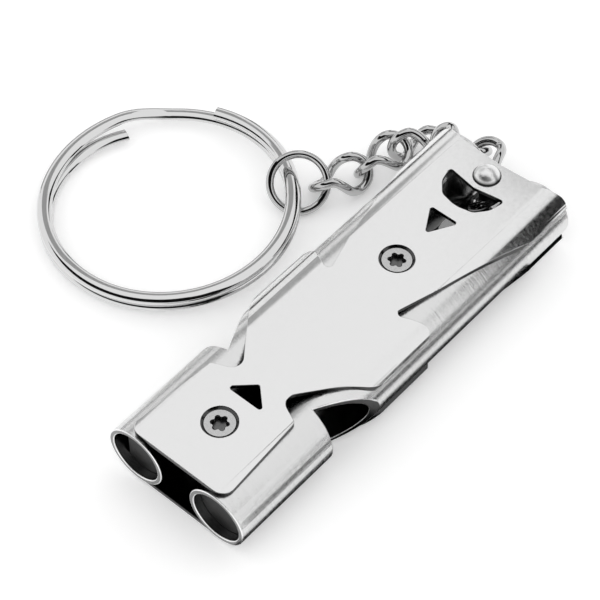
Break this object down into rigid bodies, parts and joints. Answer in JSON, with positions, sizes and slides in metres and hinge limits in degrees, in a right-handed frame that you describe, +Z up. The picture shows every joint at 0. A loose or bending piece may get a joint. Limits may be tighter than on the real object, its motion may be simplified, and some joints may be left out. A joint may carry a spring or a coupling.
{
  "type": "survival whistle",
  "caption": "Flat twin-tube survival whistle: two metal tubes between wrapped sheet plates, with a curb chain and a split key ring.",
  "frame": {"origin": "on the surface that the whistle lies on, under the middle of its tubes", "axes": "+X from the mouth to the rear, +Y to the left, +Z up out of the top plate"},
  "size_m": [0.0529, 0.0468, 0.0084],
  "materials": {
    "plate_sheet": "satin tumbled stainless sheet",
    "tube_steel": "turned round the tube, bright",
    "plug_plastic": "moulded, dull black",
    "standoff_steel": "turned, dull",
    "screw_steel": "satin",
    "bright_plating": "polished plating"
  },
  "bodies": {
    "whistle": {"top_plate": "plate_sheet", "bottom_plate": "plate_sheet", "left_tube": "tube_steel", "right_tube": "tube_steel", "left_fipple_plug": "plug_plastic", "right_fipple_plug": "plug_plastic", "left_end_plug": "plug_plastic", "right_end_plug": "plug_plastic", "front_standoff": "standoff_steel", "rear_standoff": "standoff_steel", "top_front_screw": "screw_steel", "top_rear_screw": "screw_steel", "bottom_front_screw": "screw_steel", "bottom_rear_screw": "screw_steel", "rear_pin": "bright_plating"},
    "chain_link_1": {"chain_link_1": "bright_plating"},
    "chain_link_2": {"chain_link_2": "bright_plating"},
    "chain_link_3": {"chain_link_3": "bright_plating"},
    "chain_link_4": {"chain_link_4": "bright_plating"},
    "chain_link_5": {"chain_link_5": "bright_plating"},
    "chain_link_6": {"chain_link_6": "bright_plating"},
    "jump_ring": {"jump_ring": "bright_plating"},
    "split_ring": {"split_ring": "bright_plating"}
  },
  "joints": [
    {"name": "pin_swing", "type": "hinge", "parent": "whistle", "child": "chain_link_1", "pos_m": [0.02065, 0, 0.004], "axis": [0, 1, 0], "range_deg": [-2, 2]},
    {"name": "link_2_swing", "type": "hinge", "parent": "chain_link_1", "child": "chain_link_2", "pos_m": [0.02527, 0.00045, 0.00273], "axis": [0, 0, -1], "range_deg": [0, 40]},
    {"name": "link_3_swing", "type": "hinge", "parent": "chain_link_2", "child": "chain_link_3", "pos_m": [0.0267, 0.00434, 0.00333], "axis": [0, 0, -1], "range_deg": [0, 30]},
    {"name": "link_4_swing", "type": "hinge", "parent": "chain_link_3", "child": "chain_link_4", "pos_m": [0.02584, 0.00967, 0.00182], "axis": [0, 0, -1], "range_deg": [0, 16]},
    {"name": "link_5_swing", "type": "hinge", "parent": "chain_link_4", "child": "chain_link_5", "pos_m": [0.02255, 0.01172, 0.00245], "axis": [0, 0, -1], "range_deg": [0, 40]},
    {"name": "link_6_swing", "type": "hinge", "parent": "chain_link_5", "child": "chain_link_6", "pos_m": [0.01753, 0.01282, 0.00199], "axis": [0, 0, -1], "range_deg": [-6, 18]},
    {"name": "jump_ring_swing", "type": "hinge", "parent": "chain_link_6", "child": "jump_ring", "pos_m": [0.01247, 0.01515, 0.00185], "axis": [0.3023, 0.6116, -0.7311], "range_deg": [0, 35]},
    {"name": "split_ring_swing", "type": "hinge", "parent": "jump_ring", "child": "split_ring", "pos_m": [0.00951, 0.01556, 0.00052], "axis": [-0.4882, 0.8591, 0.1539], "range_deg": [0, 60]}
  ]
}
